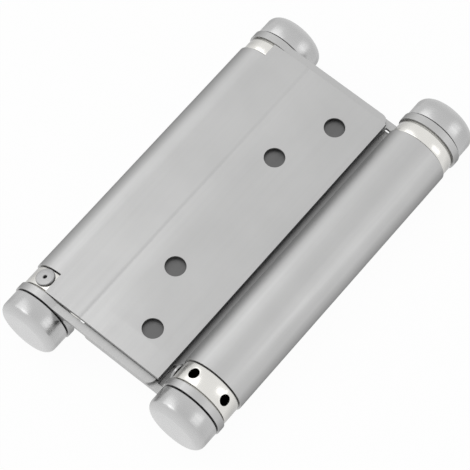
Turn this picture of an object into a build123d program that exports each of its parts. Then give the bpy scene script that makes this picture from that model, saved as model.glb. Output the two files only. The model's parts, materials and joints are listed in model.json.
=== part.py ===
from build123d import *
from math import acos, atan2, cos, degrees, hypot, radians, sin, sqrt
import os

# Double action spring hinge, 6 inch size, in satin stainless steel. Millimetres.
# Two spring barrels lie side by side, joined by a centre web of two plates.
# Each leaf is one sheet: a flat plate that rolls over into the long tube of its own barrel.
# The leaves lie over each other between the barrels, one on each side of the web.
# Barrel A carries the upper leaf. Barrel B is barrel A turned half a turn about Y.
# Work is done in the leaf frame, where the plates are level and the web's mid plane is z = 0.
# The finished hinge is then tilted so that both barrels lie on z = 0.

# Barrels
BARREL_R = 12.5          # outer radius of the rolled tube and of the web's rings
BARREL_RISE = 2.7        # how far a barrel's crown stands past the web's mid plane
AXIS_X = 34.3            # barrel axis, sideways from the centre
WINDOW_NEAR = 8.5        # length of the cut-out in a leaf over the tension collar
WINDOW_FAR = 5.8         # length of the cut-out over the fixed collar
SEAM_ANGLE = 44.0        # where the rolled edge of the tube stops, from the X axis

# Sheet
LEAF_T = 1.6             # thickness of a leaf
WEB_T = 1.6              # thickness of one web plate
LEAF_GAP = 0.35          # air between a leaf and the web
LEAF_HALF_LENGTH = 64.0  # half the length of a leaf along the barrel
LEAF_EDGE_X = 16.9       # free edge of a leaf
FOLD_X = -18.9           # crease where a leaf turns down to its tube
LEAF_CORNER_R = 0.8

# Screw holes in a leaf, bored from the web side for a sunk head
HOLE_R = 3.9
SINK_R = 4.7
HOLE_X_OUTER = 3.4
HOLE_END_OUTER = 13.1    # from a leaf's end to its outer holes
HOLE_X_INNER = -5.7
HOLE_END_INNER = 36.3    # from a leaf's end to its inner holes

# Centre web
RING_GAP = 0.3           # air between a leaf's end and the ring beside it
RING_WIDTH = 3.0         # width of a ring along the barrel
RING_T = 1.6             # wall of a ring
WEB_EDGE_X = 16.0        # free edge of a web plate, below the leaf's free edge
WEB_SIDE_GAP = 2.0       # air between a web plate and the tube beside it
WEB_NOTCH_X = -16.9      # a plate is cut back to here beside the collars
WEB_NOSE_R = 3.0         # rounded corners of a web plate's free edge
WEB_THROAT_R = 2.0       # fillets where the web runs into a ring
RIVET_R = 2.0
RIVET_X = 8.0            # rivets stand clear of the screw holes
RIVET_ROWS = (-40.0, 0.0, 40.0)

# Shaft, collars and washers
SHAFT_R = 4.0
RUNNING_GAP = 0.05       # radial clearance of a running fit
COLLAR_STEP = 0.6        # how far a collar lies below the barrel
COLLAR_RELIEF = 0.15     # air between a collar and the underside of the leaf above it
COLLAR_GAP = 0.3         # air between a collar and the tube's end
SLEEVE_LENGTH = 8.0      # part of a collar inside the tube
WASHER_T = 0.6
WASHER_STEP = 0.7        # how far a washer lies below the collar beside it
END_PLAY = 0.05          # air beside a washer
COLLAR_CHAMFER = 0.3

# Tension setting
TOMMY_R = 2.1
TOMMY_DEPTH = 5.0
TOMMY_COUNT = 5
STOP_ANGLE_A = 110.0     # the hole that holds collar A's stop pin, from the X axis
STOP_ANGLE_B = 8.0       # the same on barrel B, before its half turn
STOP_HEAD_GAP = 0.3      # from the stop pin's head to each side of its collar
STOP_HEAD_T = 1.0
STOP_HEAD_CHAMFER = 0.35
STOP_DRIVE_R = 0.9       # centre mark in the stop pin's head
STOP_DRIVE_DEPTH = 0.5
STOP_PIN_GAP = 0.05
CROSS_PIN_R = 1.5

# Springs
WIRE_R = 1.6
COIL_R = 7.8             # from the barrel axis to the wire's centre
COIL_TURNS = 13.5
SPRING_LEG = 4.0         # how far a leg enters its collar
SPRING_END_GAP = 0.4     # air between the end coil and a collar

# Caps
CAP_STEP = 0.5           # how far a cap lies below the barrel
CAP_LENGTH = 9.3
CAP_EDGE_R = 3.2
CAP_SEAM = 0.45          # dark seam between a cap and the ring
CAP_WALL = 1.6
SHAFT_END_GAP = 0.3      # air past the end of the shaft

# Places along the barrel and across the stack, worked out from the sizes above
AXIS_Z = BARREL_R - BARREL_RISE
TUBE_NEAR = LEAF_HALF_LENGTH - WINDOW_NEAR
TUBE_FAR = LEAF_HALF_LENGTH - WINDOW_FAR
HOLE_Y_OUTER = LEAF_HALF_LENGTH - HOLE_END_OUTER
HOLE_Y_INNER = LEAF_HALF_LENGTH - HOLE_END_INNER
RING_START = LEAF_HALF_LENGTH + RING_GAP
RING_END = RING_START + RING_WIDTH
CAP_START = RING_END + CAP_SEAM
CAP_END = CAP_START + CAP_LENGTH
WASHER_START = RING_START - END_PLAY - WASHER_T
COLLAR_END = WASHER_START - END_PLAY
COLLAR_R = BARREL_R - COLLAR_STEP
WASHER_R = COLLAR_R - WASHER_STEP
CAP_R = BARREL_R - CAP_STEP
STOP_HEAD_R = (COLLAR_END - TUBE_NEAR - COLLAR_GAP) / 2 - STOP_HEAD_GAP
TUBE_BORE_R = BARREL_R - LEAF_T
SLEEVE_R = TUBE_BORE_R - RUNNING_GAP
LEAF_BOTTOM = WEB_T + LEAF_GAP
LEAF_TOP = LEAF_BOTTOM + LEAF_T
SHAFT_HALF = CAP_END - CAP_WALL - SHAFT_END_GAP
TILT = degrees(atan2(AXIS_Z, AXIS_X))

AXIS_A = Vector(-AXIS_X, 0, -AXIS_Z)
HALF_TURN = Rot(0, 180, 0)
LAY_DOWN = Pos(0, 0, BARREL_R) * Rot(0, TILT, 0)
UPWARD = (Align.CENTER, Align.CENTER, Align.MIN)


def along(section, start, end):
    """Extrude a section drawn in the XZ plane from y = start to y = end."""
    solid = extrude(section, amount=end - start, dir=(0, 1, 0))
    return Pos(0, start, 0) * solid


def disc(radius, bore=0.0):
    """A round section about barrel A's axis."""
    plane = Plane(origin=AXIS_A, x_dir=(1, 0, 0), z_dir=(0, -1, 0))
    face = Circle(radius)
    if bore:
        face -= Circle(bore)
    return plane * face


def on_barrel(angle, radius, y):
    """A plane on barrel A with its normal pointing out along a radius."""
    out = Vector(cos(radians(angle)), 0, sin(radians(angle)))
    return Plane(origin=AXIS_A + out * radius + Vector(0, y, 0), x_dir=(0, 1, 0), z_dir=out)


def outline(points):
    """A flat face in the XZ plane from (x, z) corners."""
    corners = [Vector(x, 0, z) for x, z in points]
    return make_face(Polyline(*corners, close=True))


# Leaf

def tangent_angle():
    """Where the sheet leaves the tube on its way to the crease, from the X axis."""
    across = FOLD_X + AXIS_X
    up = LEAF_TOP + AXIS_Z
    return degrees(atan2(up, across) + acos(BARREL_R / hypot(across, up)))


def barrel_point(radius, angle):
    """(x, z) of a point on barrel A's section."""
    return (-AXIS_X + radius * cos(radians(angle)), -AXIS_Z + radius * sin(radians(angle)))


def sheet_section():
    """The plate, its crease and the strip that runs up to the top of the tube."""
    angle = tangent_angle()
    lean = radians(angle - 90)
    inner_fold = (FOLD_X - LEAF_T * sin(lean / 2), LEAF_BOTTOM)
    return outline([
        barrel_point(BARREL_R, angle), (FOLD_X, LEAF_TOP), (LEAF_EDGE_X, LEAF_TOP),
        (LEAF_EDGE_X, LEAF_BOTTOM), inner_fold, barrel_point(TUBE_BORE_R, angle)])


def tube_section():
    """The rolled tube, open at its seam below the sheet."""
    reach = 2 * BARREL_R
    angle = tangent_angle()
    seam = outline([
        (-AXIS_X, -AXIS_Z), barrel_point(reach, SEAM_ANGLE),
        barrel_point(reach, (SEAM_ANGLE + angle) / 2), barrel_point(reach, angle)])
    return disc(BARREL_R, TUBE_BORE_R) - seam


def screw_hole(x, y):
    """A hole that widens towards the web for the head of a countersunk screw."""
    mouth = Pos(x, y, LEAF_BOTTOM)
    bore = mouth * Cylinder(HOLE_R, LEAF_T, align=UPWARD)
    return bore + mouth * Cone(SINK_R, HOLE_R, SINK_R - HOLE_R, align=UPWARD)


def hole_places():
    return [(HOLE_X_OUTER, HOLE_Y_OUTER), (HOLE_X_INNER, HOLE_Y_INNER),
            (HOLE_X_INNER, -HOLE_Y_INNER), (HOLE_X_OUTER, -HOLE_Y_OUTER)]


def leaf():
    sheet = along(sheet_section(), -LEAF_HALF_LENGTH, LEAF_HALF_LENGTH)
    corners = sheet.edges().filter_by(Axis.Z).group_by(Axis.X)[-1]
    sheet = fillet(corners, LEAF_CORNER_R)
    for start, end in ((-LEAF_HALF_LENGTH, -TUBE_NEAR), (TUBE_FAR, LEAF_HALF_LENGTH)):
        sheet -= along(disc(COLLAR_R + COLLAR_RELIEF), start, end)
    body = sheet + along(tube_section(), -TUBE_NEAR, TUBE_FAR)
    for x, y in hole_places():
        body -= screw_hole(x, y)
    return body


# Centre web

def web_plate_edge():
    """x of a plate's edge beside the tube, whose flank is nearest on the mid plane."""
    return -AXIS_X + sqrt(BARREL_R ** 2 - AXIS_Z ** 2) + WEB_SIDE_GAP


def level_plate(left):
    """Section of the upper plate from its edge at x = left to its free edge."""
    return outline([(left, 0), (WEB_EDGE_X, 0), (WEB_EDGE_X, WEB_T), (left, WEB_T)])


def web_ring(start):
    """One end strip of a web plate, rolled into a ring round barrel A."""
    solid = along(disc(BARREL_R) + level_plate(-AXIS_X), start, start + RING_WIDTH)
    throats = [edge for edge in solid.edges().filter_by(Axis.Y)
               if edge.center().X < FOLD_X and edge.center().Z > -WEB_T]
    solid = fillet(throats, WEB_THROAT_R)
    return solid - along(disc(BARREL_R - RING_T), start, start + RING_WIDTH)


def rivet_holes():
    return [Pos(x, y, 0) for y in RIVET_ROWS for x in (-RIVET_X, RIVET_X)]


def web_plate():
    """The upper plate, which carries barrel A's two rings."""
    body = along(level_plate(WEB_NOTCH_X), -RING_START, RING_START)
    body += along(level_plate(web_plate_edge()), -TUBE_NEAR, TUBE_FAR)
    body += web_ring(RING_START)
    body += web_ring(-RING_END)
    nose = body.edges().filter_by(Axis.Z).group_by(Axis.X)[-1]
    body = fillet(nose, WEB_NOSE_R)
    for place in rivet_holes():
        body -= place * Cylinder(RIVET_R, 4 * WEB_T)
    return body


def web_rivets():
    """Rivets that join the two web plates, dressed flush on both faces."""
    return [place * Cylinder(RIVET_R, 2 * WEB_T) for place in rivet_holes()]


# Shaft and collars

def shaft():
    body = along(disc(SHAFT_R), -SHAFT_HALF, SHAFT_HALF)
    return body - cross_pin()


def spring_leg_hole(angle, start, end):
    x, z = barrel_point(COIL_R, angle)
    section = Plane(origin=(x, 0, z), x_dir=(1, 0, 0), z_dir=(0, -1, 0)) * Circle(WIRE_R + RUNNING_GAP)
    return along(section, start, end)


def collar(flange_start, flange_end, bore_r):
    """A flange as wide as the barrel, with a sleeve inside the tube at its start."""
    flange = along(disc(COLLAR_R, bore_r), flange_start, flange_end)
    rims = flange.edges().filter_by(GeomType.CIRCLE).group_by(SortBy.RADIUS)[-1]
    flange = chamfer(rims, COLLAR_CHAMFER)
    return flange + along(disc(SLEEVE_R, bore_r), flange_start - SLEEVE_LENGTH, flange_start)


def tommy_holes(y, first_angle):
    step = 360 / TOMMY_COUNT
    return [on_barrel(first_angle + step * number, COLLAR_R - TOMMY_DEPTH, y)
            * Cylinder(TOMMY_R, 2 * TOMMY_DEPTH, align=UPWARD)
            for number in range(TOMMY_COUNT)]


def tommy_y():
    return -(TUBE_NEAR + COLLAR_GAP + COLLAR_END) / 2


def tension_collar(first_angle):
    """Turns on the shaft until the stop pin in one of its holes meets the leaf."""
    body = mirror(collar(TUBE_NEAR + COLLAR_GAP, COLLAR_END, SHAFT_R + RUNNING_GAP), Plane.XZ)
    for hole in tommy_holes(tommy_y(), first_angle):
        body -= hole
    seat = -(TUBE_NEAR + COLLAR_GAP - SLEEVE_LENGTH)
    return body - spring_leg_hole(0, seat - SPRING_LEG - SPRING_END_GAP, seat)


def fixed_collar():
    """Pinned to the shaft, so that it turns with the web."""
    body = collar(TUBE_FAR + COLLAR_GAP, COLLAR_END, SHAFT_R)
    seat = TUBE_FAR + COLLAR_GAP - SLEEVE_LENGTH
    body -= spring_leg_hole(COIL_TURNS * 360, seat, seat + SPRING_LEG + SPRING_END_GAP)
    return body - cross_pin()


def cross_pin():
    """Through the fixed collar's sleeve and the shaft, held in by the tube round it."""
    y = TUBE_FAR + COLLAR_GAP - SLEEVE_LENGTH / 2
    return on_barrel(90, 0, y) * Cylinder(CROSS_PIN_R, 2 * SLEEVE_R - 2 * CROSS_PIN_R)


def washer(start):
    return along(disc(WASHER_R, SHAFT_R + 2 * RUNNING_GAP), start, start + WASHER_T)


def stop_pin(first_angle):
    """Sits in a tommy hole, with its round head on the collar against the leaf's cut edge."""
    shank = Cylinder(TOMMY_R - STOP_PIN_GAP, TOMMY_DEPTH, align=UPWARD)
    head = Cylinder(STOP_HEAD_R, STOP_HEAD_T, align=UPWARD)
    head = chamfer(head.edges().group_by(Axis.Z)[-1], STOP_HEAD_CHAMFER)
    mark = Cone(0, STOP_DRIVE_R, STOP_DRIVE_DEPTH, align=UPWARD)
    head -= Pos(0, 0, STOP_HEAD_T - STOP_DRIVE_DEPTH) * mark
    shank_foot = on_barrel(first_angle, COLLAR_R - TOMMY_DEPTH + STOP_PIN_GAP, tommy_y())
    return shank_foot * shank + on_barrel(first_angle, COLLAR_R, tommy_y()) * head


# Spring

def spring():
    """One torsion spring, with a straight leg at each end for its collar."""
    near = -(TUBE_NEAR + COLLAR_GAP - SLEEVE_LENGTH) + SPRING_END_GAP + WIRE_R
    far = TUBE_FAR + COLLAR_GAP - SLEEVE_LENGTH - SPRING_END_GAP - WIRE_R
    height = far - near
    path = Helix(pitch=height / COIL_TURNS, height=height, radius=COIL_R)
    profile = Plane(origin=path @ 0, z_dir=path % 0) * Circle(WIRE_R)
    coil = sweep(profile, path=path, is_frenet=True)
    reach = SPRING_END_GAP + WIRE_R + SPRING_LEG
    for end, lean in ((path @ 0, 180), (path @ 1, 0)):
        coil += Pos(end) * (Sphere(WIRE_R) + Rot(lean, 0, 0) * Cylinder(WIRE_R, reach, align=UPWARD))
    return Plane(origin=AXIS_A + Vector(0, near, 0), x_dir=(1, 0, 0), z_dir=(0, 1, 0)) * coil


# Caps

def cap():
    """A turned cup with a soft outer edge, pressed on the shaft's end and into the ring."""
    body = along(disc(CAP_R), CAP_START, CAP_END)
    rim = body.edges().group_by(Axis.Y)[-1]
    body = fillet(rim, CAP_EDGE_R)
    body += along(disc(BARREL_R - RING_T), RING_START, CAP_START)
    return body - along(disc(SHAFT_R), RING_START, CAP_END - CAP_WALL)


# The finished hinge

def barrel_pieces(stop_angle):
    """Everything on barrel A apart from its sheet pieces, by name."""
    return {
        "shaft": shaft(),
        "spring": spring(),
        "tension_collar": tension_collar(stop_angle),
        "stop_pin": stop_pin(stop_angle),
        "fixed_collar": fixed_collar(),
        "cross_pin": cross_pin(),
        "near_washer": washer(-WASHER_START - WASHER_T),
        "far_washer": washer(WASHER_START),
        "near_cap": mirror(cap(), Plane.XZ),
        "far_cap": cap(),
    }


def hinge():
    """Every node by name, laid down on both barrels."""
    nodes = {"upper_leaf": leaf(), "web_plate_upper": web_plate()}
    nodes["lower_leaf"] = HALF_TURN * nodes["upper_leaf"]
    nodes["web_plate_lower"] = HALF_TURN * nodes["web_plate_upper"]
    nodes["web_rivets"] = Compound(children=web_rivets())
    for name, piece in barrel_pieces(STOP_ANGLE_A).items():
        nodes[name + "_a"] = piece
    for name, piece in barrel_pieces(STOP_ANGLE_B).items():
        nodes[name + "_b"] = HALF_TURN * piece
    return {name: LAY_DOWN * piece for name, piece in nodes.items()}


os.makedirs("parts", exist_ok=True)
for node_name, node_shape in hinge().items():
    export_step(node_shape, f"parts/{node_name}.step")
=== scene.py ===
"""Finish for a double action spring hinge in satin stainless steel, built round its fixed frame."""

import json
from math import acos, atan2, cos, hypot, pi, radians, sin, sqrt

import bmesh
import bpy
from bpy.props import FloatProperty, FloatVectorProperty, IntProperty, PointerProperty
from mathutils import Matrix, Vector


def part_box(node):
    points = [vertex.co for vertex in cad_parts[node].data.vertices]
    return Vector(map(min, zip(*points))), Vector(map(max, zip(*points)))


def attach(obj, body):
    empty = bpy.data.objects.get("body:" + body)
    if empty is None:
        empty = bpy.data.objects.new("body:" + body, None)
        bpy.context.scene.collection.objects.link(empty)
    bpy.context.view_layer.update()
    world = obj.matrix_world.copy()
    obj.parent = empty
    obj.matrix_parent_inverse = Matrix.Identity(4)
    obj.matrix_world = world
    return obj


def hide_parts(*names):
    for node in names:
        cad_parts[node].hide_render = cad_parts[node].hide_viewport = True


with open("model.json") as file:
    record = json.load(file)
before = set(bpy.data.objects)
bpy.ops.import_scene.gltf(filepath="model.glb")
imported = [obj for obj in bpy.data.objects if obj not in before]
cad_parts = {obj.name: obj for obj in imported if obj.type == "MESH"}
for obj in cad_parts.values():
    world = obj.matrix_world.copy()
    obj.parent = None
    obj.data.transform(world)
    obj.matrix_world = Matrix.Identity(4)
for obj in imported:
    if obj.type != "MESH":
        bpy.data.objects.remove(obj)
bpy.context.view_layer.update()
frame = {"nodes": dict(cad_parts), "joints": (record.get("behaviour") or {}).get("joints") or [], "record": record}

bl_info = {
    "name": "Double action spring hinge",
    "version": (1, 0, 0),
    "blender": (4, 5, 0),
    "location": "3D View > Sidebar > Hinge",
    "description": "Leaves, web, collars and caps of a double action spring hinge",
    "category": "Object",
}

MM = 0.001
SAME_PLACE = 1e-7


def half_width(node):
    """Half of a frame node's extent across the barrels."""
    low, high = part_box(node)
    return (high.x - low.x) / 2


# Places read from the frame
mounts = {mount["name"]: mount for mount in frame["record"]["mounts"]}
joints = {joint["name"]: joint for joint in frame["joints"]}
face = mounts["upper_leaf_face"]
FACE_NORMAL = Vector(face["axis"])
AXIS_ROW = Vector(joints["upper_leaf_swing"]["pos_m"])
BARREL_R = AXIS_ROW.z
TILT = atan2(FACE_NORMAL.x, FACE_NORMAL.z)
LAY_DOWN = Matrix.Translation((0, 0, BARREL_R)) @ Matrix.Rotation(TILT, 4, "Y")
HALF_TURN = Matrix.Rotation(pi, 4, "Y")
PLACE = {"a": LAY_DOWN, "b": LAY_DOWN @ HALF_TURN}
AXIS = LAY_DOWN.inverted() @ AXIS_ROW
LEAF_TOP = (LAY_DOWN.inverted() @ Vector(face["pos_m"])).z
LEAF_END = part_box("upper_leaf")[1].y
RING_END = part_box("web_plate_upper")[1].y
COLLAR_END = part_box("fixed_collar_a")[1].y
COLLAR_R = half_width("fixed_collar_a")
SLEEVE_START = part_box("fixed_collar_a")[0].y
SLEEVE_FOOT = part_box("tension_collar_a")[1].y
CAP_R = half_width("far_cap_a")
CAP_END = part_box("far_cap_a")[1].y
SHAFT_R = half_width("shaft_a")
HOLE_R = mounts["upper_leaf_far_screws"]["dims"]["hole_r_mm"] * MM
BODY = {"a": "upper_leaf", "b": "lower_leaf"}
LEVEL = {"a": "upper", "b": "lower"}

# Small roundings of the turned pieces
COLLAR_ROUNDING = 0.08 * MM
PIN_ROUNDING = 0.05 * MM
CAP_ROUNDING = 0.06 * MM
CAP_CHAMFER = 0.25 * MM


class HingeSizes(bpy.types.PropertyGroup):
    """Sizes of the sheet and turned pieces, in the leaf's own frame."""

    sheet: FloatProperty(
        name="Leaf sheet", description="Thickness of a leaf", default=1.6 * MM, unit="LENGTH")
    web_sheet: FloatProperty(
        name="Web sheet", description="Thickness of a web plate", default=1.6 * MM, unit="LENGTH")
    window_near: FloatProperty(
        name="Near window", description="Length of the cut-out over the tension collar",
        default=8.5 * MM, unit="LENGTH")
    window_far: FloatProperty(
        name="Far window", description="Length of the cut-out over the fixed collar",
        default=5.8 * MM, unit="LENGTH")
    leaf_edge: FloatProperty(
        name="Leaf edge", description="Free edge of a leaf from the centre",
        default=16.9 * MM, unit="LENGTH")
    crease: FloatProperty(
        name="Crease", description="Bend of a leaf from the centre",
        default=-18.9 * MM, unit="LENGTH")
    crease_width: FloatProperty(
        name="Crease width", description="Width of the press mark along the bend",
        default=1.2 * MM, unit="LENGTH")
    crease_depth: FloatProperty(
        name="Crease depth", description="Depth of the press mark along the bend",
        default=0.12 * MM, unit="LENGTH")
    sink: FloatProperty(
        name="Screw sink", description="How much wider a screw hole is on the web side",
        default=0.8 * MM, unit="LENGTH")
    stagger: FloatProperty(
        name="Stagger", description="Sideways distance between the two screw holes of a pair",
        default=9.1 * MM, unit="LENGTH")
    seam: FloatProperty(
        name="Seam", description="Angle at which the rolled edge of a tube stops",
        default=radians(44), subtype="ANGLE")
    relief: FloatProperty(
        name="Relief", description="Air between a leaf and the collar below it",
        default=0.15 * MM, unit="LENGTH")
    web_edge: FloatProperty(
        name="Web edge", description="Free edge of a web plate from the centre",
        default=16 * MM, unit="LENGTH")
    web_gap: FloatProperty(
        name="Web gap", description="Air between a web plate and the tube beside it",
        default=2 * MM, unit="LENGTH")
    notch: FloatProperty(
        name="Web notch", description="Where a web plate is cut back beside the collars",
        default=16.9 * MM, unit="LENGTH")
    nose: FloatProperty(
        name="Web nose", description="Corner radius of a web plate", default=3 * MM, unit="LENGTH")
    throat: FloatProperty(
        name="Throat", description="Fillet where the web runs into a ring",
        default=2 * MM, unit="LENGTH")
    ring_width: FloatProperty(
        name="Ring width", description="Width of a ring along the barrel",
        default=3 * MM, unit="LENGTH")
    ring_wall: FloatProperty(
        name="Ring wall", description="Wall of a ring", default=1.6 * MM, unit="LENGTH")
    tommy_radius: FloatProperty(
        name="Tommy hole", description="Radius of a tommy hole", default=2.1 * MM, unit="LENGTH")
    tommy_depth: FloatProperty(
        name="Tommy depth", description="Depth of a tommy hole", default=5 * MM, unit="LENGTH")
    tommy_count: IntProperty(
        name="Tommy holes", description="Tommy holes round a tension collar", default=5)
    # The seam's darkness is painted shade in the cap's material.
    cap_seam: FloatProperty(
        name="Cap seam", description="Dark seam between a cap and its ring",
        default=0.45 * MM, unit="LENGTH")
    cap_shoulder: FloatProperty(
        name="Cap shoulder", description="Size of a cap's soft outer edge",
        default=3.2 * MM, unit="LENGTH")
    collar_edge: FloatProperty(
        name="Collar edge", description="Chamfer of a collar's rims",
        default=0.3 * MM, unit="LENGTH")
    collar_gap: FloatProperty(
        name="Collar gap", description="Air between a collar and the end of its tube",
        default=0.3 * MM, unit="LENGTH")
    running: FloatProperty(
        name="Running fit", description="Radial clearance of a running fit",
        default=0.05 * MM, unit="LENGTH")
    pin_head: FloatProperty(
        name="Pin head", description="Radius of a stop pin's head", default=3.6 * MM, unit="LENGTH")
    pin_tall: FloatProperty(
        name="Pin height", description="Height of a stop pin's head", default=1 * MM, unit="LENGTH")
    pin_soft: FloatProperty(
        name="Pin edge", description="Rounding of a stop pin's head",
        default=0.35 * MM, unit="LENGTH")
    pin_mark: FloatProperty(
        name="Pin mark", description="Radius of the mark in a stop pin's head",
        default=0.9 * MM, unit="LENGTH")
    edge: FloatProperty(
        name="Edge", description="Rounding of sheared sheet edges",
        default=0.16 * MM, unit="LENGTH")


class HingeColours(bpy.types.PropertyGroup):
    """Base colours of the metals and colours of painted shade, as scene linear values."""

    leaf: FloatVectorProperty(
        name="Leaf", description="Satin stainless of the leaves", subtype="COLOR",
        default=(0.51, 0.51, 0.508))
    web: FloatVectorProperty(
        name="Web", description="Satin stainless of the web", subtype="COLOR",
        default=(0.50, 0.50, 0.498))
    collar: FloatVectorProperty(
        name="Collar", description="Bright nickel of the collars", subtype="COLOR",
        default=(0.74, 0.73, 0.70))
    cap: FloatVectorProperty(
        name="Cap", description="Turned stainless of the caps", subtype="COLOR",
        default=(0.61, 0.61, 0.61))
    # Painted shade on the web near the barrels, along the leaf, where it shows in the gap beside a leaf's free
    # edge.
    painted_gap_shade: FloatVectorProperty(
        name="Covered", description="Web faces that the leaves cover", subtype="COLOR",
        default=(0.27, 0.27, 0.27))
    # Darker painted shade on the web's middle, along the leaf, where it shows through the screw holes.
    painted_hole_shade: FloatVectorProperty(
        name="Hidden", description="Web faces seen only through the screw holes", subtype="COLOR",
        default=(0.15, 0.15, 0.15))
    # Painted shade inside the tommy holes, the cap seams and the stop pins' marks.
    bore: FloatVectorProperty(
        name="Bore", description="Inside of holes and seams", subtype="COLOR",
        default=(0.012, 0.012, 0.012))
    pin: FloatVectorProperty(
        name="Pin", description="Plain steel of pins and shafts", subtype="COLOR",
        default=(0.36, 0.36, 0.36))
    spring: FloatVectorProperty(
        name="Spring", description="Oiled spring wire", subtype="COLOR", default=(0.16, 0.16, 0.17))
    washer: FloatVectorProperty(
        name="Washer", description="Natural nylon of the washers", subtype="COLOR",
        default=(0.70, 0.69, 0.65))


# Mesh helpers

def on_circle(centre, radius, angle):
    """The point of a circle at an angle in radians."""
    return centre[0] + radius * cos(angle), centre[1] + radius * sin(angle)


def arc(centre, radius, start, end, step=radians(3)):
    """Points along an arc, both ends included. Angles in radians."""
    count = max(2, round(abs(end - start) / step))
    return [on_circle(centre, radius, start + (end - start) * i / count) for i in range(count + 1)]


def ring_of(mesh, points, y):
    """One row of vertices from (x, z) points at the place y along the barrel."""
    return [mesh.verts.new((x, y, z)) for x, z in points]


def skin(mesh, first, second):
    """Quads between two closed loops of vertices."""
    for i, vert in enumerate(first):
        j = (i + 1) % len(first)
        mesh.faces.new((vert, first[j], second[j], second[i]))


def object_from(mesh, name, place=None):
    """Turn a bmesh into an object, moved from the leaf frame by the place if there is one."""
    bmesh.ops.recalc_face_normals(mesh, faces=mesh.faces)
    if place is not None:
        mesh.transform(place)
    data = bpy.data.meshes.new(name)
    mesh.to_mesh(data)
    mesh.free()
    piece = bpy.data.objects.new(name, data)
    bpy.context.scene.collection.objects.link(piece)
    return piece


def settle(piece):
    """Make the piece's modifiers part of its mesh."""
    bpy.context.view_layer.update()
    graph = bpy.context.evaluated_depsgraph_get()
    data = bpy.data.meshes.new_from_object(piece.evaluated_get(graph))
    piece.modifiers.clear()
    piece.data = data


def cut_out(piece, cutter):
    """Take the cutter's shape out of the piece."""
    modifier = piece.modifiers.new("cut", "BOOLEAN")
    modifier.operation = "DIFFERENCE"
    modifier.solver = "EXACT"
    modifier.object = cutter
    settle(piece)
    bpy.data.objects.remove(cutter)


def round_edges(piece, width, steps=3, angle=radians(35)):
    """Round the piece's sharp edges and shade the rest smooth."""
    piece.data.shade_smooth()
    modifier = piece.modifiers.new("edges", "BEVEL")
    modifier.width = width
    modifier.segments = steps
    modifier.limit_method = "ANGLE"
    modifier.angle_limit = angle
    modifier.miter_outer = "MITER_ARC"
    modifier.harden_normals = True
    settle(piece)


def lathe(mesh, profile, place, steps=128):
    """Turn a closed profile of (radius, height) points about the place's Z axis."""
    angles = [2 * pi * i / steps for i in range(steps)]
    columns = []
    for radius, height in profile:
        if radius < SAME_PLACE:
            points = [Vector((0, 0, height))]
        else:
            points = [Vector((*on_circle((0, 0), radius, angle), height)) for angle in angles]
        columns.append([mesh.verts.new(place @ point) for point in points])
    for one, two in zip(columns, columns[1:] + columns[:1]):
        for i in range(steps):
            j = (i + 1) % steps
            corners = [one[i % len(one)], one[j % len(one)], two[j % len(two)], two[i % len(two)]]
            corners = list(dict.fromkeys(corners))
            if len(corners) > 2:
                mesh.faces.new(corners)


def on_axis():
    """Placement whose Z axis runs along barrel A towards the fixed collar."""
    return Matrix.Translation((AXIS.x, 0, AXIS.z)) @ Matrix.Rotation(-pi / 2, 4, "X")


def on_barrel(angle, radius, y):
    """Placement on barrel A with its Z axis pointing out along a radius."""
    out = Vector((cos(angle), 0, sin(angle)))
    turn = Matrix.Rotation(pi / 2 - angle, 4, "Y")
    return Matrix.Translation(Vector((AXIS.x, y, AXIS.z)) + out * radius) @ turn


def finish_piece(piece, body, slot, material, *nodes):
    """Give the piece its material and its body, and let it stand for its frame nodes."""
    piece.data.materials.clear()
    piece.data.materials.append(material)
    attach(piece, body)
    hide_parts(*nodes)


# Leaves

def tangent_angle(sizes):
    """Where the sheet leaves the tube on its way to the crease."""
    across = sizes.crease - AXIS.x
    up = LEAF_TOP - AXIS.z
    return atan2(up, across) + acos(BARREL_R / hypot(across, up))


def leaf_sections(sizes):
    """Point lists shared by the leaf's cross sections: top, underside, window and tube."""
    centre = (AXIS.x, AXIS.z)
    tangent = tangent_angle(sizes)
    lean = tangent - pi / 2
    bore = BARREL_R - sizes.sheet
    relief = COLLAR_R + sizes.relief
    half = sizes.crease_width / 2
    dip = sizes.crease_depth
    slope = sin(lean)
    top = [
        (sizes.leaf_edge, LEAF_TOP),
        (sizes.crease + 1.5 * half, LEAF_TOP),
        (sizes.crease + half, LEAF_TOP - dip),
        (sizes.crease, LEAF_TOP - dip / 2),
        (sizes.crease - half, LEAF_TOP + dip / 2 - half * slope),
        (sizes.crease - 2 * half, LEAF_TOP - 2 * half * slope),
        on_circle(centre, BARREL_R, tangent)]
    reach = sqrt(relief ** 2 - bore ** 2)
    meet = tangent - atan2(reach, bore)
    window = arc(centre, relief, tangent, meet)
    under = [window.pop(), (sizes.crease - sizes.sheet * sin(lean / 2), LEAF_TOP - sizes.sheet),
             (sizes.leaf_edge, LEAF_TOP - sizes.sheet)]
    seam = sizes.seam + 2 * pi
    tube = arc(centre, BARREL_R, tangent, seam)[1:] + arc(centre, bore, seam, tangent)
    return top, under, window, tube


def leaf_mesh(sizes):
    """The plate, its crease and the rolled tube, with a window over each collar."""
    mesh = bmesh.new()
    top, under, window, tube = leaf_sections(sizes)
    levels = [-LEAF_END, sizes.window_near - LEAF_END, LEAF_END - sizes.window_far, LEAF_END]
    tops = [ring_of(mesh, top, y) for y in levels]
    unders = [ring_of(mesh, under, y) for y in levels]
    windows = [ring_of(mesh, window, y) for y in levels]
    tubes = {level: ring_of(mesh, tube, levels[level]) for level in (1, 2)}
    plates = [tops[i] + windows[i] + unders[i] for i in range(4)]
    skin(mesh, plates[0], plates[1])
    skin(mesh, plates[2], plates[3])
    skin(mesh, tops[1] + tubes[1] + unders[1], tops[2] + tubes[2] + unders[2])
    mesh.faces.new(plates[0])
    mesh.faces.new(plates[3])
    for level, loop in tubes.items():
        mesh.faces.new([tops[level][-1]] + loop + [unders[level][0]] + windows[level][::-1])
    return mesh


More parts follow.
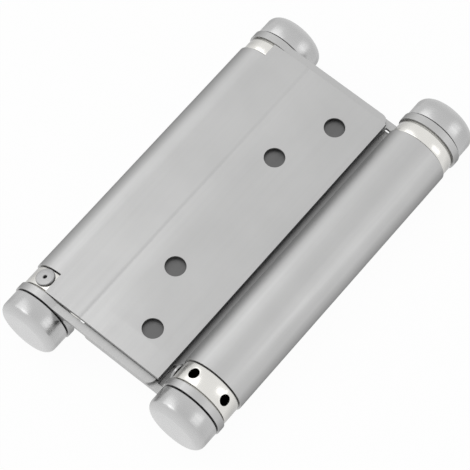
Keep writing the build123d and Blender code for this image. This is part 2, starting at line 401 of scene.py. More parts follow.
def screw_places(sizes):
    """Centres of the four screw holes in the leaf frame, staggered in pairs."""
    places = []
    across = sizes.stagger / 2
    for end in ("near", "far"):
        mount = mounts[f"upper_leaf_{end}_screws"]
        middle = LAY_DOWN.inverted() @ Vector(mount["pos_m"])
        along = sqrt((mount["dims"]["pcd_mm"] / 2 * MM) ** 2 - across ** 2)
        outward = 1 if middle.y > 0 else -1
        places += [(middle.x + across, middle.y + outward * along),
                   (middle.x - across, middle.y - outward * along)]
    return places


def screw_cutter(sizes):
    """All four screw holes, sunk from the web side."""
    mesh = bmesh.new()
    bottom = LEAF_TOP - sizes.sheet
    over = sizes.sheet / 2
    profile = [(0, bottom - over), (HOLE_R + sizes.sink + over, bottom - over),
               (HOLE_R, bottom + sizes.sink), (HOLE_R, LEAF_TOP + over), (0, LEAF_TOP + over)]
    for x, y in screw_places(sizes):
        lathe(mesh, profile, Matrix.Translation((x, y, 0)), steps=96)
    return object_from(mesh, "screw_cutter")


class HINGE_OT_leaves(bpy.types.Operator):
    """Make both leaves, each one sheet rolled into the tube of its barrel"""

    bl_idname = "hinge.leaves"
    bl_label = "Leaves"

    def execute(self, context):
        sizes = context.scene.hinge_sizes
        steel = leaf_steel()
        for side, place in PLACE.items():
            piece = object_from(leaf_mesh(sizes), BODY[side] + "_sheet")
            cut_out(piece, screw_cutter(sizes))
            piece.data.transform(place)
            round_edges(piece, sizes.edge)
            finish_piece(piece, BODY[side], "leaf_steel", steel, BODY[side])
        return {"FINISHED"}


# Centre web

def web_left(sizes):
    """Edge of a plate beside the tube, whose flank is nearest on the mid plane."""
    return AXIS.x + sqrt(BARREL_R ** 2 - AXIS.z ** 2) + sizes.web_gap


def strip_joint(sizes):
    """Where an end strip's straight part meets the stretch that belongs to its ring."""
    centre_drop = AXIS.z + sizes.throat
    return AXIS.x + sqrt((BARREL_R + sizes.throat) ** 2 - centre_drop ** 2) + sizes.throat


def ring_start(sizes):
    """Where a ring begins, beside its collar."""
    return RING_END - sizes.ring_width


def web_plan(sizes):
    """(x, y) outline of the upper plate, from the near end strip to the far one."""
    edge = sizes.web_edge
    nose = sizes.nose
    joint = strip_joint(sizes)
    strip = ring_start(sizes)
    notch = -sizes.notch
    tube_near = LEAF_END - sizes.window_near
    tube_far = LEAF_END - sizes.window_far
    left = web_left(sizes)
    near = arc((edge - nose, nose - RING_END), nose, -pi / 2, 0, radians(9))
    far = arc((edge - nose, RING_END - nose), nose, 0, pi / 2, radians(9))
    return [(joint, -RING_END)] + near + far + [
        (joint, RING_END), (joint, strip), (notch, strip), (notch, tube_far), (left, tube_far),
        (left, -tube_near), (notch, -tube_near), (notch, -strip), (joint, -strip)]


def ring_section(sizes):
    """Outer and inner points of a ring with its throat fillets, as (x, z)."""
    centre = (AXIS.x, AXIS.z)
    fillet = sizes.throat
    reach = BARREL_R + fillet
    joint = strip_joint(sizes)
    high = (sqrt(reach ** 2 - (sizes.web_sheet + fillet - AXIS.z) ** 2), sizes.web_sheet + fillet)
    low = (sqrt(reach ** 2 - (AXIS.z + fillet) ** 2), -fillet)
    high_angle = atan2(high[1] - AXIS.z, high[0])
    low_angle = atan2(low[1] - AXIS.z, low[0])
    round_part = arc(centre, BARREL_R, high_angle, low_angle + 2 * pi)
    inner_part = arc(centre, BARREL_R - sizes.ring_wall, high_angle, low_angle + 2 * pi)
    low_fillet = arc((AXIS.x + low[0], low[1]), fillet, low_angle + pi, pi / 2, radians(6))[1:]
    high_fillet = arc(
        (AXIS.x + high[0], high[1]), fillet, -pi / 2, high_angle - pi, radians(6))[:-1]
    throat = low_fillet + [(joint, 0), (joint, sizes.web_sheet)] + high_fillet
    closing = arc(centre, BARREL_R - sizes.ring_wall, low_angle, high_angle)[1:-1]
    return round_part, inner_part, throat, closing


def add_ring(mesh, sizes, start, end):
    """One ring with the stretch of end strip that runs into it, open where the plate joins."""
    round_part, inner_part, throat, closing = ring_section(sizes)
    sides = []
    for y in (start, end):
        outer = ring_of(mesh, round_part, y)
        inner = ring_of(mesh, inner_part, y)
        neck = ring_of(mesh, throat, y)
        close = ring_of(mesh, closing, y)
        for i in range(len(outer) - 1):
            mesh.faces.new((outer[i], outer[i + 1], inner[i + 1], inner[i]))
        mesh.faces.new([outer[-1]] + neck + [outer[0], inner[0]] + close[::-1] + [inner[-1]])
        sides.append((outer + neck, inner + close))
    joint = strip_joint(sizes)
    for first, second in zip(*sides):
        for i in range(len(first)):
            j = (i + 1) % len(first)
            if min(first[i].co.x, first[j].co.x) < joint - SAME_PLACE:
                mesh.faces.new((first[i], first[j], second[j], second[i]))


def web_mesh(sizes):
    """The upper plate, which carries barrel A's two rings."""
    mesh = bmesh.new()
    joint = strip_joint(sizes)
    plan = web_plan(sizes)
    low = [mesh.verts.new((x, y, 0)) for x, y in plan]
    high = [mesh.verts.new((x, y, sizes.web_sheet)) for x, y in plan]
    mesh.faces.new(low)
    mesh.faces.new(high)
    for i in range(len(plan)):
        j = (i + 1) % len(plan)
        if max(plan[i][0], plan[j][0]) > joint + SAME_PLACE:
            mesh.faces.new((low[i], low[j], high[j], high[i]))
    add_ring(mesh, sizes, ring_start(sizes), RING_END)
    add_ring(mesh, sizes, -RING_END, -ring_start(sizes))
    bmesh.ops.remove_doubles(mesh, verts=mesh.verts, dist=SAME_PLACE)
    return mesh


class HINGE_OT_web(bpy.types.Operator):
    """Make the two web plates with their rings"""

    bl_idname = "hinge.web"
    bl_label = "Web"

    def execute(self, context):
        sizes = context.scene.hinge_sizes
        steel = web_steel()
        for side, place in PLACE.items():
            piece = object_from(web_mesh(sizes), "web_sheet_" + LEVEL[side], place)
            round_edges(piece, sizes.edge)
            finish_piece(piece, "web", "web_steel", steel, "web_plate_" + LEVEL[side])
        return {"FINISHED"}


# Collars

def broken_corner(radius, height, along, edge):
    """The corner of a profile, from its face to its flank, with its edge taken off."""
    return [(radius - edge, height), (radius - edge / 3, height + along * edge / 3),
            (radius, height + along * edge)]


def collar_profile(sizes, window, sleeve):
    """Closed profile of a flange with a narrower sleeve that runs inside the tube."""
    inside = BARREL_R - sizes.sheet - sizes.running
    start = LEAF_END - window + sizes.collar_gap
    first = broken_corner(COLLAR_R, start, 1, sizes.collar_edge)
    second = broken_corner(COLLAR_R, COLLAR_END, -1, sizes.collar_edge)
    sleeve_part = [(SHAFT_R, sleeve), (inside, sleeve), (inside, start)]
    return sleeve_part + first + second[::-1] + [(SHAFT_R, COLLAR_END)]


def tommy_cutter(sizes, first_angle, y):
    """The tommy holes round a tension collar."""
    mesh = bmesh.new()
    depth = sizes.tommy_depth
    profile = [(0, -depth), (sizes.tommy_radius, -depth), (sizes.tommy_radius, depth), (0, depth)]
    for number in range(sizes.tommy_count):
        angle = first_angle + 2 * pi * number / sizes.tommy_count
        lathe(mesh, profile, on_barrel(angle, COLLAR_R, y), steps=48)
    return object_from(mesh, "tommy_cutter")


def pin_angle(side):
    """Angle of the stop pin round its barrel, read from the frame, in barrel A's own frame."""
    low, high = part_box("stop_pin_" + side)
    middle = PLACE[side].inverted() @ ((low + high) / 2)
    return atan2(middle.z - AXIS.z, middle.x - AXIS.x)


def tommy_y():
    """Middle of the stop pins along the barrel."""
    low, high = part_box("stop_pin_a")
    return (low.y + high.y) / 2


class HINGE_OT_tension_collars(bpy.types.Operator):
    """Make the collars with tommy holes at the near end"""

    bl_idname = "hinge.tension_collars"
    bl_label = "Tension collars"

    def execute(self, context):
        sizes = context.scene.hinge_sizes
        profile = collar_profile(sizes, sizes.window_near, -SLEEVE_FOOT)
        for side, place in PLACE.items():
            mesh = bmesh.new()
            lathe(mesh, [(r, -y) for r, y in profile], on_axis())
            piece = object_from(mesh, "tension_ring_" + side)
            cut_out(piece, tommy_cutter(sizes, pin_angle(side), tommy_y()))
            piece.data.transform(place)
            round_edges(piece, COLLAR_ROUNDING, steps=2)
            finish_piece(
                piece, BODY[side], "collar_nickel", collar_nickel(side), "tension_collar_" + side)
        return {"FINISHED"}


class HINGE_OT_fixed_collars(bpy.types.Operator):
    """Make the plain collars at the far end"""

    bl_idname = "hinge.fixed_collars"
    bl_label = "Fixed collars"

    def execute(self, context):
        sizes = context.scene.hinge_sizes
        profile = collar_profile(sizes, sizes.window_far, SLEEVE_START)
        for side, place in PLACE.items():
            mesh = bmesh.new()
            lathe(mesh, profile, on_axis())
            piece = object_from(mesh, "fixed_ring_" + side, place)
            round_edges(piece, COLLAR_ROUNDING, steps=2)
            finish_piece(piece, "web", "collar_nickel", collar_nickel(side), "fixed_collar_" + side)
        return {"FINISHED"}


# Stop pins

def pin_profile(sizes):
    """Closed profile of a stop pin: shank, head with a soft edge, and the mark in the head."""
    head = sizes.pin_head
    tall = sizes.pin_tall
    soft = sizes.pin_soft
    mark = sizes.pin_mark
    mark_foot = mark * 0.6
    shank = sizes.tommy_radius - sizes.running
    foot = sizes.running - sizes.tommy_depth
    edge = arc((head - soft, tall - soft), soft, 0, pi / 2, radians(30))
    return [(0, foot), (shank, foot), (shank, 0), (head, 0)] + edge + [
        (mark, tall), (mark_foot, tall - soft), (0, tall / 2)]


class HINGE_OT_stop_pins(bpy.types.Operator):
    """Make the pins that hold the tension collars against their leaves"""

    bl_idname = "hinge.stop_pins"
    bl_label = "Stop pins"

    def execute(self, context):
        profile = pin_profile(context.scene.hinge_sizes)
        for side, place in PLACE.items():
            mesh = bmesh.new()
            lathe(mesh, profile, on_barrel(pin_angle(side), COLLAR_R, tommy_y()), steps=64)
            piece = object_from(mesh, "pin_" + side, place)
            round_edges(piece, PIN_ROUNDING, steps=2)
            finish_piece(piece, BODY[side], "pin_steel", head_steel(side), "stop_pin_" + side)
        return {"FINISHED"}


# Caps

def cap_profile(sizes):
    """Closed profile of a cap: spigot in the ring, neck, flank, soft shoulder and end face."""
    foot = ring_start(sizes)
    spigot = BARREL_R - sizes.ring_wall
    neck = RING_END + sizes.cap_seam
    soft = sizes.cap_shoulder
    flank = broken_corner(CAP_R, neck, 1, CAP_CHAMFER)
    shoulder = arc((CAP_R - soft, CAP_END - soft), soft, 0, pi / 2, radians(6))
    return [(0, foot), (spigot, foot), (spigot, neck)] + flank + shoulder + [(0, CAP_END)]


class HINGE_OT_caps(bpy.types.Operator):
    """Make the turned caps at the barrels' ends"""

    bl_idname = "hinge.caps"
    bl_label = "Caps"

    def execute(self, context):
        profile = cap_profile(context.scene.hinge_sizes)
        for side, place in PLACE.items():
            for end, sign in (("near", -1), ("far", 1)):
                mesh = bmesh.new()
                lathe(mesh, [(r, sign * y) for r, y in profile], on_axis())
                piece = object_from(mesh, f"cap_{end}_{side}", place)
                round_edges(piece, CAP_ROUNDING, steps=2, angle=radians(50))
                finish_piece(piece, "web", "cap_steel", cap_steel(side), f"{end}_cap_{side}")
        return {"FINISHED"}


# Inner pieces

class HINGE_OT_inner_pieces(bpy.types.Operator):
    """Finish the shafts, springs, washers, cross pins and rivets, which keep their frame shapes"""

    bl_idname = "hinge.inner_pieces"
    bl_label = "Inner pieces"

    def execute(self, context):
        plain = pin_steel()
        nylon = washer_nylon()
        wanted = {"shaft": plain, "cross_pin": plain, "web_rivets": plain, "spring": spring_wire(),
                  "near_washer": nylon, "far_washer": nylon}
        for node, piece in frame["nodes"].items():
            material = wanted.get(node) or wanted.get(node[:-2])
            if material is None:
                continue
            for place in piece.material_slots:
                place.material = material
        return {"FINISHED"}


# Materials

BLACK = (0, 0, 0, 1)
NUMBER = "NodeSocketFloat"
VECTOR = "NodeSocketVector"
LINE_OUTPUTS = ("Height", "Streak", "Cloud", "Open")

# Scale, detail and roughness of the noises
BRUSHED = {"fine": (3800, 4.0, 0.65), "streak": (600, 3.0, 0.6), "cloud": (45, 3.0, 0.5)}
TURNED = {"fine": (1500, 2.0, 0.5), "streak": (700, 3.0, 0.6), "cloud": (90, 3.0, 0.5)}
NOISE_MIDDLE = (0.3, 0.7)
CLOUD_SHADE = (0.97, 1.03)
BUMP_DISTANCE = 0.02 * MM

# Painted shade: faces that turn away from the view are painted darker over this stretch, by this much, and a cap's
# round flank is painted at least this dark
RIM_STRETCH = (0.35, 0.9)
RIM_SHADE = 0.7
CAP_FLANK_SHADE = 0.22

# Where the painted shade begins. No point of the hinge lies past NEVER.
MASK_RISE = 0.2 * MM
COVER_MARGIN = 0.1 * MM
COLLAR_DARK_DEPTH = 0.6 * MM
CAP_DARK_DEPTH = 0.5 * MM
SEAM_MARGIN = 0.02 * MM
MARK_DARK_PART = 0.7
NEVER = 1.0


def add_node(tree, kind, **settings):
    """A shader node with its plain settings."""
    node = tree.nodes.new(kind)
    for key, value in settings.items():
        setattr(node, key, value)
    return node


def feed(tree, value, socket):
    """Link an output socket to an input, or set the input to a plain value."""
    if isinstance(value, bpy.types.NodeSocket):
        tree.links.new(value, socket)
    else:
        socket.default_value = value


def new_group(name, inputs, outputs):
    """An empty node group with inputs {label: (kind, default)} and number outputs."""
    tree = bpy.data.node_groups.new(name, "ShaderNodeTree")
    for label, (kind, default) in inputs.items():
        socket = tree.interface.new_socket(label, in_out="INPUT", socket_type=kind)
        if default is not None:
            socket.default_value = default
    for label in outputs:
        tree.interface.new_socket(label, in_out="OUTPUT", socket_type=NUMBER)
    return tree, tree.nodes.new("NodeGroupInput"), tree.nodes.new("NodeGroupOutput")


def math(tree, operation, first, second=None):
    """A math node fed by sockets or numbers, as its output socket."""
    node = add_node(tree, "ShaderNodeMath", operation=operation)
    feed(tree, first, node.inputs[0])
    if second is not None:
        feed(tree, second, node.inputs[1])
    return node.outputs[0]


def vector_math(tree, operation, first, second=None):
    """A vector math node fed by sockets."""
    node = add_node(tree, "ShaderNodeVectorMath", operation=operation)
    feed(tree, first, node.inputs[0])
    if second is not None:
        feed(tree, second, node.inputs[1])
    return node


def parts_of(tree, vector):
    """The X, Y and Z outputs of a vector."""
    node = tree.nodes.new("ShaderNodeSeparateXYZ")
    tree.links.new(vector, node.inputs[0])
    return node.outputs


def vector_of(tree, **parts):
    """A vector from its X, Y and Z sockets, as a socket."""
    node = tree.nodes.new("ShaderNodeCombineXYZ")
    for label, value in parts.items():
        tree.links.new(value, node.inputs[label])
    return node.outputs[0]


def noise(tree, vector, scale, detail, roughness):
    """A noise texture on a vector, as its value socket."""
    node = tree.nodes.new("ShaderNodeTexNoise")
    node.inputs["Scale"].default_value = scale
    node.inputs["Detail"].default_value = detail
    node.inputs["Roughness"].default_value = roughness
    tree.links.new(vector, node.inputs["Vector"])
    return node.outputs["Fac"]


def past(tree, value, limit):
    """A mask that rises from 0 to 1 where the value passes a limit, as a socket."""
    over = math(tree, "DIVIDE", math(tree, "SUBTRACT", value, limit), MASK_RISE)
    node = tree.nodes.new("ShaderNodeClamp")
    tree.links.new(over, node.inputs["Value"])
    return node.outputs["Result"]


def put_out_lines(tree, exit_node, lines, position, noises):
    """Feed a group's height, streaks and clouds from its noises."""
    fine = noise(tree, lines, *noises["fine"])
    streak = noise(tree, lines, *noises["streak"])
    cloud = noise(tree, position, *noises["cloud"])
    tree.links.new(math(tree, "ADD", fine, streak), exit_node.inputs["Height"])
    tree.links.new(streak, exit_node.inputs["Streak"])
    tree.links.new(cloud, exit_node.inputs["Cloud"])


def grain_group():
    """Fine brushed lines along the barrel, with masks past a length and past a width that place painted shade."""
    found = bpy.data.node_groups.get("brushed_grain")
    if found:
        return found
    tree, entry, exit_node = new_group(
        "brushed_grain",
        {"Position": (VECTOR, None), "Stretch": (NUMBER, 40.0), "Open Past": (NUMBER, -1.0),
         "Side Past": (NUMBER, -1.0)},
        (*LINE_OUTPUTS, "Side"))
    place = parts_of(tree, entry.outputs["Position"])
    reach = math(tree, "ABSOLUTE", place["Y"])
    aside = math(tree, "ABSOLUTE", place["X"])
    tree.links.new(past(tree, reach, entry.outputs["Open Past"]), exit_node.inputs["Open"])
    tree.links.new(past(tree, aside, entry.outputs["Side Past"]), exit_node.inputs["Side"])
    along = math(tree, "DIVIDE", place["Y"], entry.outputs["Stretch"])
    lines = vector_of(tree, X=place["X"], Y=along, Z=place["Z"])
    put_out_lines(tree, exit_node, lines, entry.outputs["Position"], BRUSHED)
    return tree


def turned_group():
    """Fine turning lines about a barrel's axis, with a mask past a radius or a length that places painted shade.
    """
    found = bpy.data.node_groups.get("turned_lines")
    if found:
        return found
    tree, entry, exit_node = new_group(
        "turned_lines",
        {"Position": (VECTOR, None), "Axis X": (NUMBER, 0.0), "Axis Z": (NUMBER, 0.0),
         "Open Radius": (NUMBER, 0.0), "Open Past": (NUMBER, -1.0)},
        LINE_OUTPUTS)
    place = parts_of(tree, entry.outputs["Position"])
    across = math(tree, "SUBTRACT", place["X"], entry.outputs["Axis X"])
    up = math(tree, "SUBTRACT", place["Z"], entry.outputs["Axis Z"])
    across_square = math(tree, "MULTIPLY", across, across)
    up_square = math(tree, "MULTIPLY", up, up)
    radius = math(tree, "SQRT", math(tree, "ADD", across_square, up_square))
    outside = past(tree, radius, entry.outputs["Open Radius"])
    end = past(tree, math(tree, "ABSOLUTE", place["Y"]), entry.outputs["Open Past"])
    tree.links.new(math(tree, "MAXIMUM", outside, end), exit_node.inputs["Open"])
    lines = vector_of(tree, X=radius, Y=place["Y"])
    put_out_lines(tree, exit_node, lines, entry.outputs["Position"], TURNED)
    return tree


def mark_group():
    """A mask that is 0 within a radius of a line and 1 outside it, which places painted shade in a stop pin's
    mark.
    """
    found = bpy.data.node_groups.get("pin_mark")
    if found:
        return found
    tree, entry, exit_node = new_group(
        "pin_mark",
        {"Position": (VECTOR, None), "Centre": (VECTOR, None), "Direction": (VECTOR, None),
         "Open Radius": (NUMBER, 0.0)},
        ("Open",))
    offset = vector_math(tree, "SUBTRACT", entry.outputs["Position"], entry.outputs["Centre"])
    across = vector_math(
        tree, "CROSS_PRODUCT", offset.outputs["Vector"], entry.outputs["Direction"])
    length = vector_math(tree, "LENGTH", across.outputs["Vector"])
    outside = past(tree, length.outputs["Value"], entry.outputs["Open Radius"])
    tree.links.new(outside, exit_node.inputs["Open"])
    return tree


def remap(tree, value, stretch, low=0.0, high=1.0):
    """Map a stretch of a value onto low to high, as a socket."""
    node = tree.nodes.new("ShaderNodeMapRange")
    node.inputs["From Min"].default_value = stretch[0]
    node.inputs["From Max"].default_value = stretch[1]
    node.inputs["To Min"].default_value = low
    node.inputs["To Max"].default_value = high
    tree.links.new(value, node.inputs["Value"])
    return node.outputs["Result"]


def blend(tree, first, second, factor):
    """The first colour where the factor is 0 and the second where it is 1, as a socket."""
    node = add_node(tree, "ShaderNodeMix", data_type="RGBA")
    for label, value in (("A", first), ("B", second), ("Factor", factor)):
        feed(tree, value, node.inputs[label])
    return node.outputs["Result"]


def opaque(colour):
    return (*colour, 1)


def tint(tree, colour, value):
    """The colour with a slowly changing brightness, as a socket."""
    dim, bright = [opaque(part * shade for part in colour) for shade in CLOUD_SHADE]
    return blend(tree, dim, bright, remap(tree, value, NOISE_MIDDLE))


def painted_rim_shade(tree, colour, flank_shade):
    """The colour with painted shade: darker on round flanks and more so where they turn away from the view."""
    weight = tree.nodes.new("ShaderNodeLayerWeight")
    weight.inputs["Blend"].default_value = 0.5
    away = remap(tree, weight.outputs["Facing"], RIM_STRETCH)
    surface = tree.nodes.new("ShaderNodeNewGeometry")
    normal = parts_of(tree, surface.outputs["Normal"])
    flank = math(tree, "SUBTRACT", 1.0, math(tree, "ABSOLUTE", normal["Y"]))
    edge = math(tree, "MULTIPLY", away, RIM_SHADE)
    mask = math(tree, "MULTIPLY", math(tree, "MAXIMUM", edge, flank_shade), flank)
    return blend(tree, colour, BLACK, mask)


def metal(name, colour, group, roughness, bump, settings=None, darken=None, flank_shade=0.0,
          metallic=1.0):
    """A finish whose grain group feeds its colour, roughness and bump, with painted shade where faces turn away
    from the view.

    If it is given, darken(tree, position, grain, base) adds painted shade to the base colour.
    """
    name += "_finish"
    found = bpy.data.materials.get(name)
    if found:
        return found
    material = bpy.data.materials.new(name)
    material.use_nodes = True
    tree = material.node_tree
    shader = tree.nodes["Principled BSDF"]
    shader.inputs["Metallic"].default_value = metallic
    position = tree.nodes.new("ShaderNodeTexCoord").outputs["Object"]
    grain = add_node(tree, "ShaderNodeGroup", node_tree=group)
    tree.links.new(position, grain.inputs["Position"])
    for label, value in (settings or {}).items():
        grain.inputs[label].default_value = value
    base = painted_rim_shade(tree, tint(tree, colour, grain.outputs["Cloud"]), flank_shade)
    if darken:
        base = darken(tree, position, grain, base)
    tree.links.new(base, shader.inputs["Base Color"])
    rough = remap(tree, grain.outputs["Streak"], NOISE_MIDDLE, *roughness)
    tree.links.new(rough, shader.inputs["Roughness"])
    height = tree.nodes.new("ShaderNodeBump")
    height.inputs["Strength"].default_value = bump
    height.inputs["Distance"].default_value = BUMP_DISTANCE
    tree.links.new(grain.outputs["Height"], height.inputs["Height"])
    tree.links.new(height.outputs["Normal"], shader.inputs["Normal"])
    return material


def painted_shade_inside(colour):
    """Painted shade: keeps the base colour only where the grain group's mask is open, and puts the shade colour
    elsewhere.
    """
    def darken(tree, position, grain, base):
        return blend(tree, opaque(colour), base, grain.outputs["Open"])
    return darken


def leaf_steel():
    colours = bpy.context.scene.hinge_colours
    return metal("leaf_steel", colours.leaf, grain_group(), roughness=(0.42, 0.52), bump=0.2)


def web_steel():
    """Bright on the end strips and rings, with painted shade beside the leaf and darker painted shade below it."""
    colours = bpy.context.scene.hinge_colours
    sizes = bpy.context.scene.hinge_sizes
    settings = {"Open Past": LEAF_END - COVER_MARGIN, "Side Past": sizes.web_edge * cos(TILT)}

    def darken(tree, position, grain, base):
        # Painted shade along the leaf: darker below it, lighter near the barrels.
        painted_web_shade = blend(
            tree, opaque(colours.painted_hole_shade), opaque(colours.painted_gap_shade), grain.outputs["Side"])
        return blend(tree, painted_web_shade, base, grain.outputs["Open"])

    return metal("web_steel", colours.web, grain_group(), roughness=(0.38, 0.5), bump=0.2,
                 settings=settings, darken=darken)


def barrel_centre(side):
    """Settings that centre turned lines on a barrel."""
    return {"Axis X": AXIS_ROW.x if side == "a" else -AXIS_ROW.x, "Axis Z": AXIS_ROW.z}


def collar_nickel(side):
    """Bright nickel, with painted shade inside the tommy holes."""
    colours = bpy.context.scene.hinge_colours
    settings = barrel_centre(side)
    settings |= {"Open Radius": COLLAR_R - COLLAR_DARK_DEPTH, "Open Past": NEVER}
    return metal("collar_nickel_" + side, colours.collar, turned_group(), roughness=(0.2, 0.26),
                 bump=0.02, settings=settings, darken=painted_shade_inside(colours.bore))


def cap_steel(side):
    """Turned steel, with painted shade in the seam beside the ring and on its round flank."""
    colours = bpy.context.scene.hinge_colours
    seam = RING_END + bpy.context.scene.hinge_sizes.cap_seam
    settings = barrel_centre(side)
    settings |= {"Open Radius": CAP_R - CAP_DARK_DEPTH, "Open Past": seam + SEAM_MARGIN}
    return metal("cap_steel_" + side, colours.cap, turned_group(), roughness=(0.24, 0.32),
                 bump=0.02, settings=settings, darken=painted_shade_inside(colours.bore),
                 flank_shade=CAP_FLANK_SHADE)


def pin_steel(name="pin_steel", darken=None):
    colours = bpy.context.scene.hinge_colours
    return metal(name, colours.pin, grain_group(), roughness=(0.25, 0.35), bump=0.1, darken=darken)


def head_steel(side):
    """Plain steel with painted shade in the mark in the middle of the stop pin's head."""
    colours = bpy.context.scene.hinge_colours
    angle = pin_angle(side)
    foot = PLACE[side] @ Vector((AXIS.x, tommy_y(), AXIS.z))
    head = PLACE[side] @ Vector((AXIS.x + cos(angle), tommy_y(), AXIS.z + sin(angle)))

    def darken(tree, position, grain, base):
        mark = add_node(tree, "ShaderNodeGroup", node_tree=mark_group())
        tree.links.new(position, mark.inputs["Position"])
        mark.inputs["Centre"].default_value = foot
        mark.inputs["Direction"].default_value = head - foot
        radius = bpy.context.scene.hinge_sizes.pin_mark * MARK_DARK_PART
        mark.inputs["Open Radius"].default_value = radius
        return blend(tree, opaque(colours.bore), base, mark.outputs["Open"])

    return pin_steel("stop_pin_steel_" + side, darken)


def spring_wire():
    colours = bpy.context.scene.hinge_colours
    return metal("spring_wire", colours.spring, grain_group(), roughness=(0.3, 0.45), bump=0.1)


def washer_nylon():
    colours = bpy.context.scene.hinge_colours
    return metal("washer_nylon", colours.washer, grain_group(), roughness=(0.45, 0.55), bump=0.05,
                 metallic=0.0)


# Stage

CAMERA_PLACE = Vector((237.528, -306.957, 850.515)) * MM
CAMERA_YAW = radians(37.861)
CAMERA_PITCH = radians(65.694)
CAMERA_ROLL = radians(1.715)
CAMERA_LENS = 200.78
SENSOR_WIDTH = 36
CAMERA_RANGE = (0.05, 20)
FLOOR_SIZE = 4.0
FLOOR_GREY = 0.85
FLOOR_ROUGHNESS = 0.8
FLOOR_GLOW = 0.96
SKY_LOW = 0.35
SKY_HIGH = 0.93
WHITE = (1, 1, 1, 1)

# Name, place and size in metres, and power in watts
LAMPS = (("key", (-0.42, 0.05, 0.5), (0.3, 0.4), 0.26),
         ("soft", (-0.14, -0.06, 0.45), (0.2, 0.2), 0.14),
         ("fill", (0.62, 0.2, 0.24), (0.2, 0.4), 0.2))


def grey(level):
    return (level, level, level, 1)


def aim_camera():
    """The photograph's view, given in the leaf frame."""
    data = bpy.data.cameras.new("camera")
    camera = bpy.data.objects.new("camera", data)
    bpy.context.scene.collection.objects.link(camera)
    back = Vector((sin(CAMERA_YAW) * cos(CAMERA_PITCH), -cos(CAMERA_YAW) * cos(CAMERA_PITCH),
                   sin(CAMERA_PITCH)))
    level = Vector((cos(CAMERA_YAW), sin(CAMERA_YAW), 0))
    upright = back.cross(level)
    right = level * cos(CAMERA_ROLL) + upright * sin(CAMERA_ROLL)
    up = upright * cos(CAMERA_ROLL) - level * sin(CAMERA_ROLL)
    turn = Matrix((right, up, back)).transposed().to_4x4()
    camera.matrix_world = LAY_DOWN @ Matrix.Translation(CAMERA_PLACE) @ turn
    data.lens = CAMERA_LENS
    data.sensor_width = SENSOR_WIDTH
    data.clip_start, data.clip_end = CAMERA_RANGE
    bpy.context.scene.camera = camera


def seen_directly(tree):
    """1 for camera, glossy and transmission rays, which see the white background."""
    path = tree.nodes.new("ShaderNodeLightPath")
    rays = math(tree, "MAXIMUM", path.outputs["Is Camera Ray"], path.outputs["Is Glossy Ray"])
    return math(tree, "MAXIMUM", rays, path.outputs["Is Transmission Ray"])


def put_out_mix(tree, factor, first, second, end):
    """Feed the end node with the first shader where the factor is 0, the second where it is 1."""
    mix = tree.nodes.new("ShaderNodeMixShader")
    for place, value in enumerate((factor, first.outputs[0], second.outputs[0])):
        tree.links.new(value, mix.inputs[place])
    tree.links.new(mix.outputs[0], tree.nodes[end].inputs["Surface"])


def floor_material():
    """Pale floor that the camera sees as white, with a trace of shadow."""
    material = bpy.data.materials.new("pale_floor")
    material.use_nodes = True
    tree = material.node_tree
    shader = tree.nodes["Principled BSDF"]
    shader.inputs["Base Color"].default_value = grey(FLOOR_GREY)
    shader.inputs["Roughness"].default_value = FLOOR_ROUGHNESS
    glow = tree.nodes.new("ShaderNodeEmission")
    factor = math(tree, "MULTIPLY", seen_directly(tree), FLOOR_GLOW)
    put_out_mix(tree, factor, shader, glow, "Material Output")
    return material


def studio_world():
    """White to the camera and in reflections, and a soft sky as light."""
    world = bpy.data.worlds.new("studio")
    bpy.context.scene.world = world
    world.use_nodes = True
    tree = world.node_tree
    sky = tree.nodes["Background"]
    place = tree.nodes.new("ShaderNodeTexCoord")
    ramp = tree.nodes.new("ShaderNodeValToRGB")
    stops = ramp.color_ramp.elements
    stops[0].position = 0.0
    stops[0].color = grey(SKY_LOW)
    stops[1].position = 1.0
    stops[1].color = grey(SKY_HIGH)
    tree.links.new(parts_of(tree, place.outputs["Generated"])["Z"], ramp.inputs["Fac"])
    tree.links.new(ramp.outputs["Color"], sky.inputs["Color"])
    white = tree.nodes.new("ShaderNodeBackground")
    white.inputs["Color"].default_value = WHITE
    put_out_mix(tree, seen_directly(tree), sky, white, "World Output")


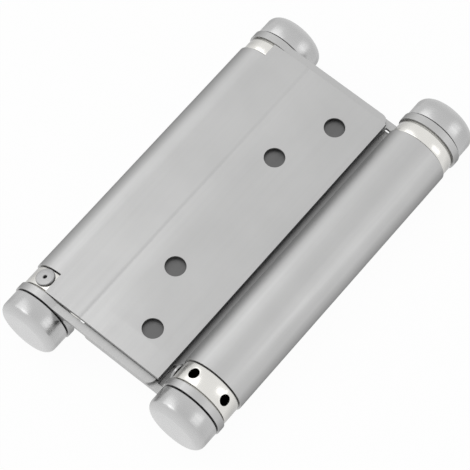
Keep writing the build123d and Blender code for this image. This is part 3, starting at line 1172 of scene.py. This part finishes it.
def add_light(name, place, size, power):
    """A soft rectangular lamp aimed at the hinge."""
    data = bpy.data.lights.new(name, "AREA")
    data.shape = "RECTANGLE"
    data.size, data.size_y = size
    data.energy = power
    lamp = bpy.data.objects.new(name, data)
    bpy.context.scene.collection.objects.link(lamp)
    lamp.location = place
    lamp.rotation_mode = "QUATERNION"
    lamp.rotation_quaternion = Vector(place).to_track_quat("Z", "Y")


class HINGE_OT_stage(bpy.types.Operator):
    """Make the floor, lamps, world and camera"""

    bl_idname = "hinge.stage"
    bl_label = "Stage"

    def execute(self, context):
        mesh = bmesh.new()
        bmesh.ops.create_grid(mesh, x_segments=1, y_segments=1, size=FLOOR_SIZE)
        floor = object_from(mesh, "floor")
        floor.data.materials.append(floor_material())
        studio_world()
        for lamp in LAMPS:
            add_light(*lamp)
        aim_camera()
        context.scene.view_settings.view_transform = "Standard"
        return {"FINISHED"}


# Panel and registration

MAKERS = ("leaves", "web", "tension_collars", "fixed_collars", "stop_pins", "caps", "inner_pieces",
          "stage")


class HINGE_PT_panel(bpy.types.Panel):
    """Lists the hinge's makers, sizes and colours"""

    bl_idname = "HINGE_PT_panel"
    bl_label = "Spring hinge"
    bl_space_type = "VIEW_3D"
    bl_region_type = "UI"
    bl_category = "Hinge"

    def draw(self, context):
        layout = self.layout
        for maker in MAKERS:
            layout.operator("hinge." + maker)
        for group in (context.scene.hinge_sizes, context.scene.hinge_colours):
            for name in group.__annotations__:
                layout.prop(group, name)


CLASSES = (HingeSizes, HingeColours, HINGE_OT_leaves, HINGE_OT_web, HINGE_OT_tension_collars,
           HINGE_OT_fixed_collars, HINGE_OT_stop_pins, HINGE_OT_caps, HINGE_OT_inner_pieces,
           HINGE_OT_stage, HINGE_PT_panel)


def register():
    for one in CLASSES:
        bpy.utils.register_class(one)
    bpy.types.Scene.hinge_sizes = PointerProperty(type=HingeSizes)
    bpy.types.Scene.hinge_colours = PointerProperty(type=HingeColours)


def unregister():
    del bpy.types.Scene.hinge_colours
    del bpy.types.Scene.hinge_sizes
    for one in reversed(CLASSES):
        bpy.utils.unregister_class(one)


def main():
    register()
    for maker in MAKERS:
        getattr(bpy.ops.hinge, maker)()


if __name__ == "__main__":
    main()
